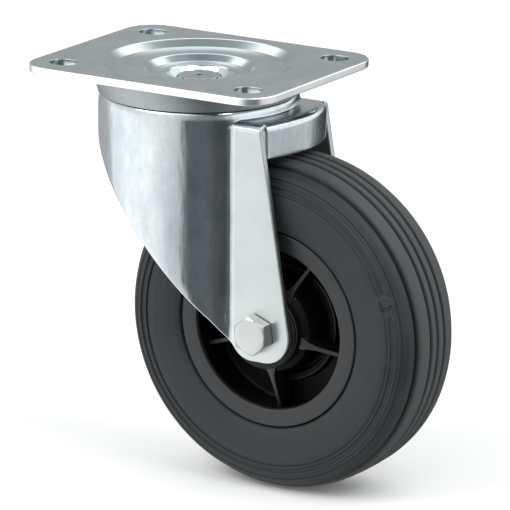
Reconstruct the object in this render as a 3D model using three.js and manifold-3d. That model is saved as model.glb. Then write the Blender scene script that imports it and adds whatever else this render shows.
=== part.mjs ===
// Swivel castor: a pressed top plate, a pressed fork on two ball rings, and a 125 mm rubber-tyred wheel.
// Units are millimetres, +Z up. The origin is on the swivel axis, in the mounting face of the top plate.
// The wheel trails towards +X, and the axle bolt runs along Y with its head on the -Y side.
import * as THREE from 'three';
import { mergeVertices } from 'three/addons/utils/BufferGeometryUtils.js';
import Module from 'manifold-3d';

const wasm = await Module();
wasm.setup();

// ---- driving dimensions -------------------------------------------------------------------------
const GAP = 0.3;                 // space kept between pieces that touch
const TAU = 2 * Math.PI;

const plate = {
  length: 105, width: 85, sheet: 3, corner: 12,
  holesX: 80, holesY: 60, slotLength: 11, slotWidth: 9,
  dishR: 38, pinHoleR: 6.2, segments: 44,
};
const skirt = { outerR: 38.4, lipR: 37.5, lipZ: -10.8, wall: 1.2 };
const ball = { r: 3.75, upperRing: 30.5, upperCount: 24, lowerRing: 15.5, lowerCount: 12 };
const fork = {
  sheet: 2.5, shellR: 37.4, legOuter: 24, crownTop: -14.5, neckR: 36, neckTop: -10.4,
  creaseR: 4, rearR: 47.3, apronBottom: -27.5, axleHoleR: 4.3, pinHoleR: 9.2, edgeBevel: 2,
};
const axle = { x: 40.5, z: -92.5, r: 4, headAcross: 13, headHeight: 5.3, end: 35.5 };
const wheel = { r: 62.5, halfWidth: 18.75, seatR: 37.4, ridgeR: 40, faceY: 17, openR: 30.5, segments: 48 };
const hub = {
  bossR: 14.3, bossRootR: 16.8, bossY: 19.6, boreR: 10.6, webHalf: 2.2,
  ribs: 5, ribWall: 2.6, firstRib: 58,
};
const bearing = { sleeveR: 6, rollerR: 2, rollers: 8, rollerHalf: 14, cageHalf: 16.5 };

const legInner = fork.legOuter - fork.sheet;
const crownUnder = fork.crownTop - fork.sheet;

// height of each ball ring: the upper one hangs under the dished plate, the lower one under the crown
const dishUnder = -5.3;
const upperBallZ = dishUnder - GAP - ball.r;
const lowerBallZ = crownUnder + 0.75 - GAP - ball.r;
const raceR = ball.r + GAP;

// ---- materials ----------------------------------------------------------------------------------
function finish(color, roughness, metalness) {
  return new THREE.MeshStandardMaterial({ color, roughness, metalness });
}

const zinc = () => finish(0xc3ccd0, 0.32, 1);
const zincDull = () => finish(0x9aa0a3, 0.5, 1);
const bareSteel = () => finish(0xb8bcc0, 0.2, 1);
const rubber = () => finish(0x45494c, 0.75, 0);
const blackPlastic = () => finish(0x121416, 0.45, 0);
const greyPlastic = () => finish(0x8b9094, 0.5, 0);

// ---- geometry helpers ---------------------------------------------------------------------------
const deg = (angle) => (angle * Math.PI) / 180;

// A geometry with merged corners and outward faces, and the solid it bounds.
function toSolid(geometry) {
  const bare = geometry.clone();
  for (const name of ['normal', 'uv']) bare.deleteAttribute(name);
  const merged = mergeVertices(bare, 1e-4);
  const position = new Float32Array(merged.attributes.position.array);
  const index = Uint32Array.from(merged.index.array);
  if (signedVolume(position, index) < 0) {
    for (let i = 0; i < index.length; i += 3) [index[i], index[i + 1]] = [index[i + 1], index[i]];
  }
  return new wasm.Manifold(new wasm.Mesh({ numProp: 3, vertProperties: position, triVerts: index }));
}

function signedVolume(position, index) {
  let six = 0;
  for (let i = 0; i < index.length; i += 3) {
    const [a, b, c] = [0, 1, 2].map((k) => new THREE.Vector3().fromArray(position, 3 * index[i + k]));
    six += a.dot(b.cross(c));
  }
  return six;
}

function toGeometry(solid) {
  const mesh = solid.getMesh();
  const geometry = new THREE.BufferGeometry();
  geometry.setAttribute('position', new THREE.BufferAttribute(new Float32Array(mesh.vertProperties), 3));
  geometry.setIndex(new THREE.BufferAttribute(new Uint32Array(mesh.triVerts), 1));
  return geometry;
}

// An outline of [radius, height] turned about Y. It ends on the axis, or it is closed into a ring.
function turnedY(profile, segments) {
  const points = profile.map(([r, h]) => new THREE.Vector2(r, h));
  if (profile[0][0] > 0) points.push(points[0].clone());
  return new THREE.LatheGeometry(points, segments);
}

function turnedZ(profile, segments) {
  return turnedY(profile, segments).rotateX(Math.PI / 2);
}

// A flat outline in XY raised from z0 to z1.
function slab(shape, z0, z1, curveSegments = 6, bevel = 0) {
  const geometry = new THREE.ExtrudeGeometry(shape, {
    depth: z1 - z0 - 2 * bevel, curveSegments, bevelEnabled: bevel > 0,
    bevelThickness: bevel, bevelSize: bevel, bevelOffset: -bevel, bevelSegments: 2,
  });
  return geometry.translate(0, 0, z0 + bevel);
}

// An outline drawn in X and Z, spread from y0 to y1.
function sideSlab(shape, y0, y1, curveSegments = 6) {
  return slab(shape, 0, y1 - y0, curveSegments).rotateX(Math.PI / 2).translate(0, y1, 0);
}

function block(x0, x1, y0, y1, z0, z1) {
  const box = new THREE.BoxGeometry(x1 - x0, y1 - y0, z1 - z0);
  return box.translate((x0 + x1) / 2, (y0 + y1) / 2, (z0 + z1) / 2);
}

// A round bar along Y.
function bar(r, y0, y1, segments = 24) {
  return new THREE.CylinderGeometry(r, r, y1 - y0, segments).translate(0, (y0 + y1) / 2, 0);
}

// A polygon of [x, y, radius] corners, each rounded by an arc of its radius.
function roundedOutline(corners) {
  const shape = new THREE.Shape();
  const count = corners.length;
  corners.forEach(([x, y, r], i) => {
    const here = new THREE.Vector2(x, y);
    const before = new THREE.Vector2(...corners[(i + count - 1) % count].slice(0, 2)).sub(here).normalize();
    const after = new THREE.Vector2(...corners[(i + 1) % count].slice(0, 2)).sub(here).normalize();
    const half = Math.acos(before.dot(after)) / 2;
    const start = here.clone().addScaledVector(before, r / Math.tan(half));
    const end = here.clone().addScaledVector(after, r / Math.tan(half));
    const middle = before.clone().add(after).normalize();
    const centre = here.clone().addScaledVector(middle, r / Math.sin(half));
    if (i === 0) shape.moveTo(start.x, start.y);
    else shape.lineTo(start.x, start.y);
    if (r > 0) {
      const a0 = Math.atan2(start.y - centre.y, start.x - centre.x);
      const a1 = Math.atan2(end.y - centre.y, end.x - centre.x);
      shape.absarc(centre.x, centre.y, r, a0, a1, before.cross(after) > 0);
    }
  });
  shape.closePath();
  return shape;
}

// Points [radius, height] on an arc about a ball's centre, for its race.
function raceArc(centreR, centreZ, fromAngle, toAngle, steps = 4) {
  return Array.from({ length: steps + 1 }, (_, i) => {
    const angle = deg(fromAngle + ((toAngle - fromAngle) * i) / steps);
    return [centreR + raceR * Math.cos(angle), centreZ + raceR * Math.sin(angle)];
  });
}

// The half outline at positive heights, followed by its mirror image.
const mirrored = (half) => [...half, ...half.map(([r, h]) => [r, -h]).reverse()];

function piece(name, source, material) {
  const solid = source instanceof THREE.BufferGeometry ? toSolid(source) : source;
  const mesh = new THREE.Mesh(toGeometry(solid), material);
  mesh.name = name;
  return mesh;
}

// ---- top plate ----------------------------------------------------------------------------------
// A flat plate with four slots, whose middle steps down twice and ends in a well for the king pin.
function topPlate() {
  const { length, width, sheet, corner, dishR } = plate;
  const [l, w] = [length / 2, width / 2];
  const outline = roundedOutline([[-l, -w, corner], [l, -w, corner], [l, w, corner], [-l, w, corner]]);
  outline.holes.push(new THREE.Path(arcPoints(0, 0, dishR - 1, 0, TAU, plate.segments).slice(0, -1)));
  for (const sx of [-1, 1]) {
    for (const sy of [-1, 1]) {
      outline.holes.push(slotPath((sx * plate.holesX) / 2, (sy * plate.holesY) / 2));
    }
  }
  return toSolid(slab(outline, -sheet, 0, 5)).add(toSolid(turnedZ(dishProfile(), plate.segments)));
}

function slotPath(x, y) {
  const r = plate.slotWidth / 2;
  const half = plate.slotLength / 2 - r;
  const path = new THREE.Path();
  path.absarc(x + half, y, r, -Math.PI / 2, Math.PI / 2);
  path.absarc(x - half, y, r, Math.PI / 2, (3 * Math.PI) / 2);
  path.closePath();
  return path;
}

function dishProfile() {
  const { dishR, sheet, pinHoleR } = plate;
  const top = [[dishR, 0], [36.4, 0], [34.8, -0.6], [33, -1.8], [31.4, -2.3], [20.6, -2.3], [19.6, -2.8],
    [18.4, -3.9], [17.4, -4.4], [11.9, -4.4], [11.1, -5.2], [9.6, -7.7], [pinHoleR, -7.7]];
  const under = [[pinHoleR, -10.7], [12.2, -10.7], [14.6, -7.4], [18.4, -7.4], [21.6, dishUnder],
    [31.8, dishUnder], [35.4, -3.3], [dishR, -sheet]];
  return [...top, ...under];
}

// The thin ring that hangs under the plate and covers the upper ball race.
function dustRing() {
  const { outerR, lipR, lipZ, wall } = skirt;
  const top = -plate.sheet - GAP;
  const bend = lipZ + 3.2;
  const profile = [[outerR, top], [outerR, bend], [lipR, lipZ], [lipR - 1, lipZ], [outerR - wall, bend],
    [outerR - wall, top]];
  return turnedZ(profile, 40);
}

// The rivet that holds plate, crown and lower race together; its top end is peened in the plate's well.
function kingPin() {
  const [headTop, headUnder, r] = [-5.3, -7.7 + GAP, 5.9];
  const flangeTop = lowerRace.bottom - GAP;
  const profile = [[0, headTop - 1.2], [0.6, headTop - 1.2], [1.2, headTop], [7.9, headTop], [8.6, headTop - 0.6],
    [8.6, headUnder], [r, headUnder], [r, flangeTop], [9.5, flangeTop], [9.5, flangeTop - 1.9],
    [8.9, flangeTop - 2.5], [0, flangeTop - 2.5]];
  const notch = new THREE.CylinderGeometry(1.3, 1.3, 4, 8).rotateX(Math.PI / 2);
  const notches = [0, 1, 2, 3, 4, 5].map((k) => {
    const angle = (TAU * (k + 0.5)) / 6;
    return toSolid(notch.clone().translate(8.9 * Math.cos(angle), 8.9 * Math.sin(angle), headTop));
  });
  return notches.reduce((pin, cut) => pin.subtract(cut), toSolid(turnedZ(profile, 24)));
}

const lowerRace = { innerR: 6.3, floor: -23.4, bottom: -26.4, rimTop: -19.6, rimR: 22.9 };

function lowerRaceCup() {
  const { innerR, floor, bottom, rimTop, rimR } = lowerRace;
  const groove = raceArc(ball.lowerRing, lowerBallZ, 220, 320, 3);
  const profile = [[innerR, floor], ...groove, [20.1, -21], [20.4, rimTop], [rimR, rimTop], [rimR, -22.6],
    [21.2, bottom], [innerR, bottom]];
  return turnedZ(profile, 30);
}

// ---- fork ---------------------------------------------------------------------------------------
// Points along an arc, both ends included; the arc runs from angle a0 to a1 in radians.
function arcPoints(x, y, r, a0, a1, steps) {
  return Array.from({ length: steps + 1 }, (_, i) => {
    const angle = a0 + ((a1 - a0) * i) / steps;
    return new THREE.Vector2(x + r * Math.cos(angle), y + r * Math.sin(angle));
  });
}

// Plan of the fork's outside, or of a wall inset from it: front arc, two creases, two flat legs, rear arc.
function forkPlan(inset, rearR) {
  const centreY = fork.legOuter + fork.creaseR;
  const centreX = Math.sqrt((fork.shellR + fork.creaseR) ** 2 - centreY ** 2);
  const creaseAngle = Math.atan2(centreY, centreX);
  const creaseR = fork.creaseR + inset;
  const rearAngle = Math.asin((fork.legOuter - inset) / rearR);
  return new THREE.Shape([
    ...arcPoints(0, 0, fork.shellR - inset, creaseAngle, TAU - creaseAngle, 32),
    ...arcPoints(centreX, -centreY, creaseR, Math.PI - creaseAngle, Math.PI / 2, 3).slice(1),
    ...arcPoints(0, 0, rearR, -rearAngle, rearAngle, 8),
    ...arcPoints(centreX, centreY, creaseR, -Math.PI / 2, creaseAngle - Math.PI, 3).slice(0, -1),
  ]);
}

// Outline of the fork in X and Z: sloping front edge, rounded leg end, rear edge of the legs.
function forkSide() {
  const frontSlope = 1.147;
  const [kneeX, kneeZ] = [23.5, -89.4];
  const rearSlope = 0.166;
  const rearX = (z) => 41.6 + rearSlope * (-18.6 - z);
  const [top, bottom] = [0, axle.z - 11.1];
  const frontX = kneeX - (top - kneeZ) / frontSlope;
  return roundedOutline([[frontX, top, 0], [kneeX, kneeZ, 20], [33.2, bottom, 9],
    [rearX(bottom), bottom, 10.5], [rearX(top), top, 0]]);
}

// The raised neck with the upper ball groove, and the crown's middle with the lower groove under it.
function crownProfile() {
  const { neckR, neckTop, pinHoleR } = fork;
  const plateau = -13.6;
  return [[neckR, crownUnder], [neckR, neckTop], ...raceArc(ball.upperRing, upperBallZ, -15, -165, 5),
    [25.4, -10.9], [24.4, plateau], [pinHoleR, plateau], [pinHoleR, crownUnder],
    ...raceArc(ball.lowerRing, lowerBallZ, 128, 52, 3)];
}

function forkBody() {
  const { rearR, sheet, crownTop, apronBottom, edgeBevel } = fork;
  const [deep, wide] = [-110, 60];
  const outside = toSolid(slab(forkPlan(0, rearR), deep, crownTop, 1, edgeBevel));
  const inside = toSolid(slab(forkPlan(sheet, rearR - sheet), deep - 5, crownUnder, 1));
  const side = toSolid(sideSlab(forkSide(), -wide, wide, 5));
  const head = toSolid(block(-50, 50, -30, 30, apronBottom, 0));
  const rear = toSolid(block(30, 50, -30, 30, deep - 5, 5));
  const shell = outside.subtract(inside);
  const apron = shell.intersect(head).intersect(rear);
  const front = shell.subtract(rear).intersect(side);
  const legs = [-1, 1].map((s) => {
    const [y0, y1] = s < 0 ? [-fork.legOuter, -legInner] : [legInner, fork.legOuter];
    return toSolid(block(29, wide, y0, y1, deep, crownTop - edgeBevel)).intersect(side);
  });
  const slits = [-1, 1].map((s) => {
    const y = s * (legInner - 0.4);
    return toSolid(block(38, 46, y - 0.4, y + 0.4, apronBottom - 1, crownUnder));
  });
  const neckHole = toSolid(bar(fork.neckR - 2, crownUnder - 1, 0, 40).rotateX(Math.PI / 2));
  const axleHole = toSolid(bar(fork.axleHoleR, -wide, wide).translate(axle.x, 0, axle.z));
  const sheetMetal = front.add(apron).add(legs[0]).add(legs[1]).subtract(neckHole);
  const body = sheetMetal.add(toSolid(turnedZ(crownProfile(), 40)));
  return [...slits, axleHole].reduce((solid, cut) => solid.subtract(cut), body);
}

// ---- axle ---------------------------------------------------------------------------------------
// A hexagonal prism along Y with its corners cut back by a cone at the outer end.
function hexPrism(across, y0, y1, chamferAt) {
  const r = across / Math.sqrt(3);
  const middle = (y0 + y1) / 2;
  const turn = deg(-8);
  const prism = new THREE.CylinderGeometry(r, r, y1 - y0, 6).rotateY(turn).translate(0, middle, 0);
  const inward = Math.sign(middle - chamferAt);
  const [faceR, farR, farY] = [across * 0.46, across * 1.4, across * 1.6];
  const coneY = (farR - faceR) * Math.tan(deg(30));
  const cone = turnedY([[0, chamferAt], [faceR, chamferAt], [farR, chamferAt + inward * coneY],
    [farR, chamferAt + inward * farY], [0, chamferAt + inward * farY]], 24);
  return toSolid(prism).intersect(toSolid(cone));
}

function axleBolt() {
  const headInner = -fork.legOuter - GAP;
  const headOuter = headInner - axle.headHeight;
  const shank = turnedY([[0, headInner - 1], [axle.r, headInner - 1], [axle.r, axle.end - 1],
    [axle.r - 0.8, axle.end], [0, axle.end]], 24);
  return hexPrism(axle.headAcross, headOuter, headInner, headOuter).add(toSolid(shank));
}

// A plain collar about Y.
function collar(innerR, outerR, y0, y1, segments = 24) {
  return turnedY([[innerR, y0], [outerR, y0], [outerR, y1], [innerR, y1]], segments);
}

const nut = {
  washerStart: fork.legOuter + GAP, washerWall: 1.5, washerR: 8, height: 6.2,
  collar: 1.8, collarR: 6, pocketR: 5.5, boreR: 4.3, insertWall: 1.2,
};
nut.start = nut.washerStart + nut.washerWall + GAP;
nut.collarStart = nut.start + nut.height;

// A self-locking nut: the round collar at its outer end holds a plastic ring.
function axleNut() {
  const { start, collarStart, boreR, collarR, pocketR } = nut;
  const top = collarStart + nut.collar;
  const body = hexPrism(axle.headAcross, start, collarStart, start);
  const neck = toSolid(bar(collarR, collarStart - 0.5, top));
  const bore = toSolid(bar(boreR, start - 1, top + 1));
  const pocket = toSolid(bar(pocketR, collarStart, top + 1));
  return body.add(neck).subtract(bore).subtract(pocket);
}

function axleWasher() {
  return collar(nut.boreR, nut.washerR, nut.washerStart, nut.washerStart + nut.washerWall);
}

function nutInsert() {
  const start = nut.collarStart + GAP;
  return collar(nut.boreR, nut.pocketR - GAP, start, start + nut.insertWall, 20);
}

function axleSleeve() {
  const end = legInner - GAP;
  return collar(axle.r + GAP, bearing.sleeveR, -end, end);
}

// ---- wheel --------------------------------------------------------------------------------------
function tyreProfile() {
  const { r, halfWidth, seatR, ridgeR, faceY } = wheel;
  const [seat, ridge, groove] = [seatR + GAP, ridgeR + GAP, r - 1];
  const tread = [[groove, 0], [r, 0.8], [r - 0.1, 4], [groove, 4.84], [r - 0.2, 5.7], [r - 0.6, 10],
    [61.1, 12.4]];
  const wall = [[60.3, 13.2], [58.3, 16.2], [54, 18.3], [48, halfWidth], [41, 18.2], [seat, faceY]];
  const half = [...tread, ...wall, [seat, 8.7], [ridge, 7.7]];
  return [...half, ...half.slice(1).map(([x, y]) => [x, -y]).reverse()];
}

function rimProfile() {
  const { seatR, ridgeR, faceY, openR } = wheel;
  const { bossR, bossRootR, bossY, boreR, webHalf } = hub;
  const outside = mirrored([[openR, faceY - 0.4], [openR + 0.7, faceY], [seatR, faceY], [seatR, 8.3],
    [ridgeR, 7.3]]);
  const below = [[openR + 0.7, -webHalf], [bossRootR + 1, -webHalf], [bossRootR, -14], [bossR, -bossY],
    [boreR, -bossY]];
  const above = below.map(([x, y]) => [x, -y]).reverse();
  return [...outside, ...below, ...above];
}

// Spokes of the rim: a tapered fin on each side of the web, repeated round the boss.
function rim() {
  const { ribs, ribWall, firstRib, webHalf, bossR } = hub;
  const [rootR, tipR, rootY] = [bossR - 2, wheel.openR + 1.5, webHalf - 1];
  const fin = roundedOutline([[rootR, 17, 0], [rootR, rootY, 0], [tipR, rootY, 0], [tipR, 11.5, 0],
    [bossR + 5, 15.2, 0]]);
  let body = toSolid(turnedY(rimProfile(), wheel.segments));
  for (let k = 0; k < ribs; k += 1) {
    for (const side of [-1, 1]) {
      const rib = slab(fin, -ribWall / 2, ribWall / 2).scale(1, side, 1);
      body = body.add(toSolid(rib.rotateY(deg(-firstRib - (360 * k) / ribs))));
    }
  }
  return body;
}

// A flanged plastic cap that closes the bearing at one end of the hub.
function hubCap(side) {
  const [outer, shoulder, inner] = [legInner - GAP, hub.bossY + GAP, 17.2];
  const r = hub.bossR - 0.1;
  const profile = [[bearing.sleeveR + GAP, inner], [hub.boreR - GAP, inner], [hub.boreR - GAP, shoulder],
    [r, shoulder], [r, outer - 0.4], [r - 0.6, outer], [bearing.sleeveR + GAP, outer]];
  return turnedY(profile.map(([x, y]) => [x, side * y]), 26);
}

const rollerRing = bearing.sleeveR + GAP + bearing.rollerR;

function rollerPlaces() {
  return Array.from({ length: bearing.rollers }, (_, k) => (TAU * k) / bearing.rollers);
}

function rollerCage() {
  const wall = 1.2;
  const pocket = bar(bearing.rollerR + GAP, -bearing.rollerHalf - GAP, bearing.rollerHalf + GAP, 8);
  const tube = toSolid(collar(rollerRing - wall, rollerRing + wall, -bearing.cageHalf, bearing.cageHalf));
  return rollerPlaces().reduce((cage, angle) => {
    const place = [rollerRing * Math.cos(angle), 0, rollerRing * Math.sin(angle)];
    return cage.subtract(toSolid(pocket.clone().translate(...place)));
  }, tube);
}

// ---- assembly -----------------------------------------------------------------------------------
function ballRing(group, prefix, count, ringR, z) {
  for (let k = 0; k < count; k += 1) {
    const angle = (TAU * k) / count;
    const name = `${prefix}_${String(k + 1).padStart(2, '0')}`;
    const one = piece(name, new THREE.IcosahedronGeometry(ball.r, 1), bareSteel());
    one.position.set(ringR * Math.cos(angle), ringR * Math.sin(angle), z);
    group.add(one);
  }
}

const castor = new THREE.Group();

const head = new THREE.Group();
head.add(piece('top_plate', topPlate(), zinc()));
head.add(piece('dust_ring', dustRing(), zincDull()));
head.add(piece('king_pin', kingPin(), zinc()));
head.add(piece('lower_race', lowerRaceCup(), zinc()));
ballRing(head, 'upper_ball', ball.upperCount, ball.upperRing, upperBallZ);
ballRing(head, 'lower_ball', ball.lowerCount, ball.lowerRing, lowerBallZ);

const swivel = new THREE.Group();
swivel.add(piece('fork', forkBody(), zinc()));

const axleGroup = new THREE.Group();
axleGroup.position.set(axle.x, 0, axle.z);
axleGroup.add(piece('axle_bolt', axleBolt(), zinc()));
axleGroup.add(piece('axle_washer', axleWasher(), zinc()));
axleGroup.add(piece('axle_nut', axleNut(), zinc()));
axleGroup.add(piece('nut_insert', nutInsert(), greyPlastic()));
axleGroup.add(piece('axle_sleeve', axleSleeve(), bareSteel()));
axleGroup.add(piece('rim', rim(), blackPlastic()));
axleGroup.add(piece('tyre', turnedY(tyreProfile(), wheel.segments), rubber()));
axleGroup.add(piece('hub_cap_head_side', hubCap(-1), blackPlastic()));
axleGroup.add(piece('hub_cap_nut_side', hubCap(1), blackPlastic()));
axleGroup.add(piece('roller_cage', rollerCage(), greyPlastic()));
rollerPlaces().forEach((angle, k) => {
  const rod = bar(bearing.rollerR, -bearing.rollerHalf, bearing.rollerHalf, 10);
  const roller = piece(`roller_${k + 1}`, rod, bareSteel());
  roller.position.set(rollerRing * Math.cos(angle), 0, rollerRing * Math.sin(angle));
  axleGroup.add(roller);
});
swivel.add(axleGroup);

castor.add(head, swivel);

export default castor;
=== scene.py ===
"""A swivel castor seen in a pale studio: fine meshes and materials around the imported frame.

Blender works in metres. The profile and outline helpers work in millimetres, and link_object
scales them.
"""

import math

import bmesh
import bpy
import numpy as np
from mathutils import Matrix, Vector, geometry


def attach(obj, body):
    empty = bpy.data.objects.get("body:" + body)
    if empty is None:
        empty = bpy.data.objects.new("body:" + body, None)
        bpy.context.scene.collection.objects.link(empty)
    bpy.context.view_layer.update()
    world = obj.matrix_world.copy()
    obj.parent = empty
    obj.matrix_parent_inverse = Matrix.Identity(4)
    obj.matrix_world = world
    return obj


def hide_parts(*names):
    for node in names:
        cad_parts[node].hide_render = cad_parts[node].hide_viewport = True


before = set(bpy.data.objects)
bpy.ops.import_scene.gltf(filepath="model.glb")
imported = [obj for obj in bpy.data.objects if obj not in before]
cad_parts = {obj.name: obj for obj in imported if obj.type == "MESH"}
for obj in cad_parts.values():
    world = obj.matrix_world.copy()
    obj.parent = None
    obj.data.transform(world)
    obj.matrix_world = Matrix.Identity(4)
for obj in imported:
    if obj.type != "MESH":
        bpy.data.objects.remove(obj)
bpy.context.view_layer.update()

MM = 0.001
TAU = 2 * math.pi
AXLE = Vector((40.5, 0.0, -92.5))        # axle centre, mm
FLOOR_Z = -155.0                         # lowest point of the tyre, mm


def rad(angle):
    return math.radians(angle)


# ---- camera -------------------------------------------------------------------------------------
def make_camera():
    azimuth, elevation, roll = rad(31.883), rad(15.640), rad(0.27)
    distance, lens = 1693.0, 320.5
    right = Vector((math.cos(azimuth), math.sin(azimuth), 0))
    level = math.cos(elevation)
    back = Vector((math.sin(azimuth) * level, -math.cos(azimuth) * level, math.sin(elevation)))
    up = back.cross(right)
    aim = right * 20.83 + Vector((0, 0, -74.49))
    turned = Matrix((right, up, back)).transposed() @ Matrix.Rotation(roll, 3, "Z")
    data = bpy.data.cameras.new("camera")
    data.lens = lens
    data.sensor_width = 36.0
    data.clip_start = 0.05
    data.clip_end = 20.0
    camera = bpy.data.objects.new("camera", data)
    camera.matrix_world = Matrix.Translation((aim + back * distance) * MM) @ turned.to_4x4()
    bpy.context.scene.collection.objects.link(camera)
    bpy.context.scene.camera = camera


make_camera()


# ---- node helpers -------------------------------------------------------------------------------
class Nodes:
    """A short way to build a node tree."""

    def __init__(self, tree):
        self.tree = tree
        tree.nodes.clear()

    def add(self, kind, inputs=None, **settings):
        node = self.tree.nodes.new(kind)
        for key, value in settings.items():
            setattr(node, key, value)
        for key, value in (inputs or {}).items():
            if isinstance(value, bpy.types.NodeSocket):
                self.tree.links.new(value, node.inputs[key])
            else:
                node.inputs[key].default_value = value
        return node

    def math(self, operation, a, b=0.0):
        return self.add("ShaderNodeMath", {0: a, 1: b}, operation=operation).outputs[0]

    def remap(self, value, low, high, to_low=0.0, to_high=1.0, smooth=False):
        kind = "SMOOTHSTEP" if smooth else "LINEAR"
        inputs = {"Value": value, "From Min": low, "From Max": high,
                  "To Min": to_low, "To Max": to_high}
        return self.add("ShaderNodeMapRange", inputs, interpolation_type=kind).outputs["Result"]

    def ramp(self, value, stops):
        node = self.add("ShaderNodeValToRGB", {"Fac": value})
        elements = node.color_ramp.elements
        while len(elements) < len(stops):
            elements.new(1.0)
        for element, (place, colour) in zip(elements, stops):
            element.position = place
            element.color = (*colour, 1.0)
        return node.outputs["Color"]

    def mix(self, factor, a, b, blend="MIX"):
        node = self.add("ShaderNodeMix", data_type="RGBA", blend_type=blend)
        for index, value in ((0, factor), (6, a), (7, b)):
            if isinstance(value, bpy.types.NodeSocket):
                self.tree.links.new(value, node.inputs[index])
            else:
                node.inputs[index].default_value = value if index == 0 else (*value[:3], 1.0)
        return node.outputs[2]

    def noise(self, vector, scale, detail=4.0, roughness=0.55):
        inputs = {"Vector": vector, "Scale": scale, "Detail": detail, "Roughness": roughness}
        return self.add("ShaderNodeTexNoise", inputs).outputs["Fac"]

    def place(self, scale=(1, 1, 1)):
        inputs = {"Vector": self.add("ShaderNodeTexCoord").outputs["Object"], "Scale": scale}
        return self.add("ShaderNodeMapping", inputs).outputs["Vector"]


def finish_material(name, build):
    material = bpy.data.materials.new(name)
    material.use_nodes = True
    nodes = Nodes(material.node_tree)
    shader = nodes.add("ShaderNodeBsdfPrincipled")
    output = nodes.add("ShaderNodeOutputMaterial")
    nodes.tree.links.new(shader.outputs[0], output.inputs["Surface"])
    build(nodes, shader)
    return material


def plug(nodes, shader, **sockets):
    for key, value in sockets.items():
        socket = shader.inputs[key.replace("_", " ")]
        if isinstance(value, bpy.types.NodeSocket):
            nodes.tree.links.new(value, socket)
        else:
            socket.default_value = value


def bump(nodes, height, strength, distance, normal=None):
    inputs = {"Height": height, "Strength": strength, "Distance": distance}
    if normal is not None:
        inputs["Normal"] = normal
    return nodes.add("ShaderNodeBump", inputs).outputs["Normal"]


# ---- materials ----------------------------------------------------------------------------------
def zinc_material(name, tint, rough_low, rough_high, streak, wave=0.0):
    """Zinc plating: a mottle, fine grain, streaks along Z and the slight waves of pressed sheet."""
    def build(nodes, shader):
        plain = nodes.place()
        drawn = nodes.place((1, 1, 0.06))
        mottle = nodes.noise(plain, 55, 5, 0.6)
        cloud = nodes.noise(plain, 14, 2, 0.5)
        grain = nodes.noise(plain, 1600, 2, 0.6)
        streaks = nodes.noise(drawn, 420, 3, 0.6)
        waves = nodes.noise(nodes.place((1, 1, 0.22)), 95, 3, 0.55)
        spangle = nodes.noise(nodes.place((1, 1, 0.5)), 230, 4, 0.65)
        light = tuple(min(1.0, c * 1.05) for c in tint)
        dark = tuple(c * 0.9 for c in tint)
        colour = nodes.mix(nodes.remap(mottle, 0.3, 0.7), dark, light)
        colour = nodes.mix(nodes.remap(streaks, 0.35, 0.7, 0.0, streak), colour, (0.5, 0.55, 0.6))
        waved = nodes.remap(waves, 0.45, 0.75, 0.0, 2.5 * wave)
        colour = nodes.mix(waved, colour, (0.4, 0.45, 0.5))
        spangled = nodes.remap(spangle, 0.42, 0.68, 0.0, 1.4 * wave)
        colour = nodes.mix(spangled, colour, (0.36, 0.41, 0.44))
        rough = nodes.math("ADD", nodes.remap(mottle, 0.3, 0.7, rough_low, rough_high),
                           nodes.remap(cloud, 0.3, 0.7, -0.02, 0.03))
        normal = bump(nodes, grain, 0.05, 0.0002)
        normal = bump(nodes, streaks, 0.25 * streak, 0.0004, normal)
        normal = bump(nodes, waves, wave, 0.0012, normal)
        plug(nodes, shader, Base_Color=colour, Metallic=1.0, Roughness=rough, Normal=normal)
    return finish_material(name, build)


def rubber_material(name, dark, light):
    """Moulded rubber with a fine grain, soft blotches, a little pale dust and a lighter tread."""
    def build(nodes, shader):
        plain = nodes.place()
        blotch = nodes.noise(plain, 38, 4, 0.6)
        dust = nodes.noise(plain, 260, 3, 0.7)
        grain = nodes.noise(plain, 2600, 3, 0.6)
        colour = nodes.mix(nodes.remap(blotch, 0.3, 0.7), dark, light)
        colour = nodes.mix(nodes.remap(dust, 0.64, 0.82, 0.0, 0.3), colour, (0.06, 0.064, 0.067))
        across, _, up = nodes.add("ShaderNodeSeparateXYZ", {"Vector": plain}).outputs
        across = nodes.math("SUBTRACT", across, AXLE.x * MM)
        up = nodes.math("SUBTRACT", up, AXLE.z * MM)
        across = nodes.math("MULTIPLY", across, across)
        up = nodes.math("MULTIPLY", up, up)
        radius = nodes.math("SQRT", nodes.math("ADD", across, up))
        # Lighter over the outer tread, from radius 60.5 mm outward.
        tread = nodes.remap(radius, 60.5 * MM, 61.8 * MM, 0.0, 0.6)
        colour = nodes.mix(tread, colour, (0.062, 0.066, 0.069))
        rough = nodes.remap(blotch, 0.25, 0.75, 0.52, 0.68)
        normal = bump(nodes, grain, 0.22, 0.0002)
        plug(nodes, shader, Base_Color=colour, Roughness=rough, Normal=normal)
        shader.inputs["Specular IOR Level"].default_value = 0.4
    return finish_material(name, build)


def plastic_material(name, dark, light, rough, gloss=0.5):
    """Moulded plastic with an even satin skin and faint flow marks."""
    def build(nodes, shader):
        flow = nodes.noise(nodes.place((1, 0.4, 1)), 90, 3, 0.5)
        grain = nodes.noise(nodes.place(), 1900, 2, 0.6)
        colour = nodes.mix(nodes.remap(flow, 0.3, 0.7), dark, light)
        roughness = nodes.remap(flow, 0.3, 0.7, rough - 0.05, rough + 0.06)
        normal = bump(nodes, grain, 0.12, 0.0002)
        plug(nodes, shader, Base_Color=colour, Roughness=roughness, Normal=normal)
        shader.inputs["Specular IOR Level"].default_value = gloss
    return finish_material(name, build)


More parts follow.
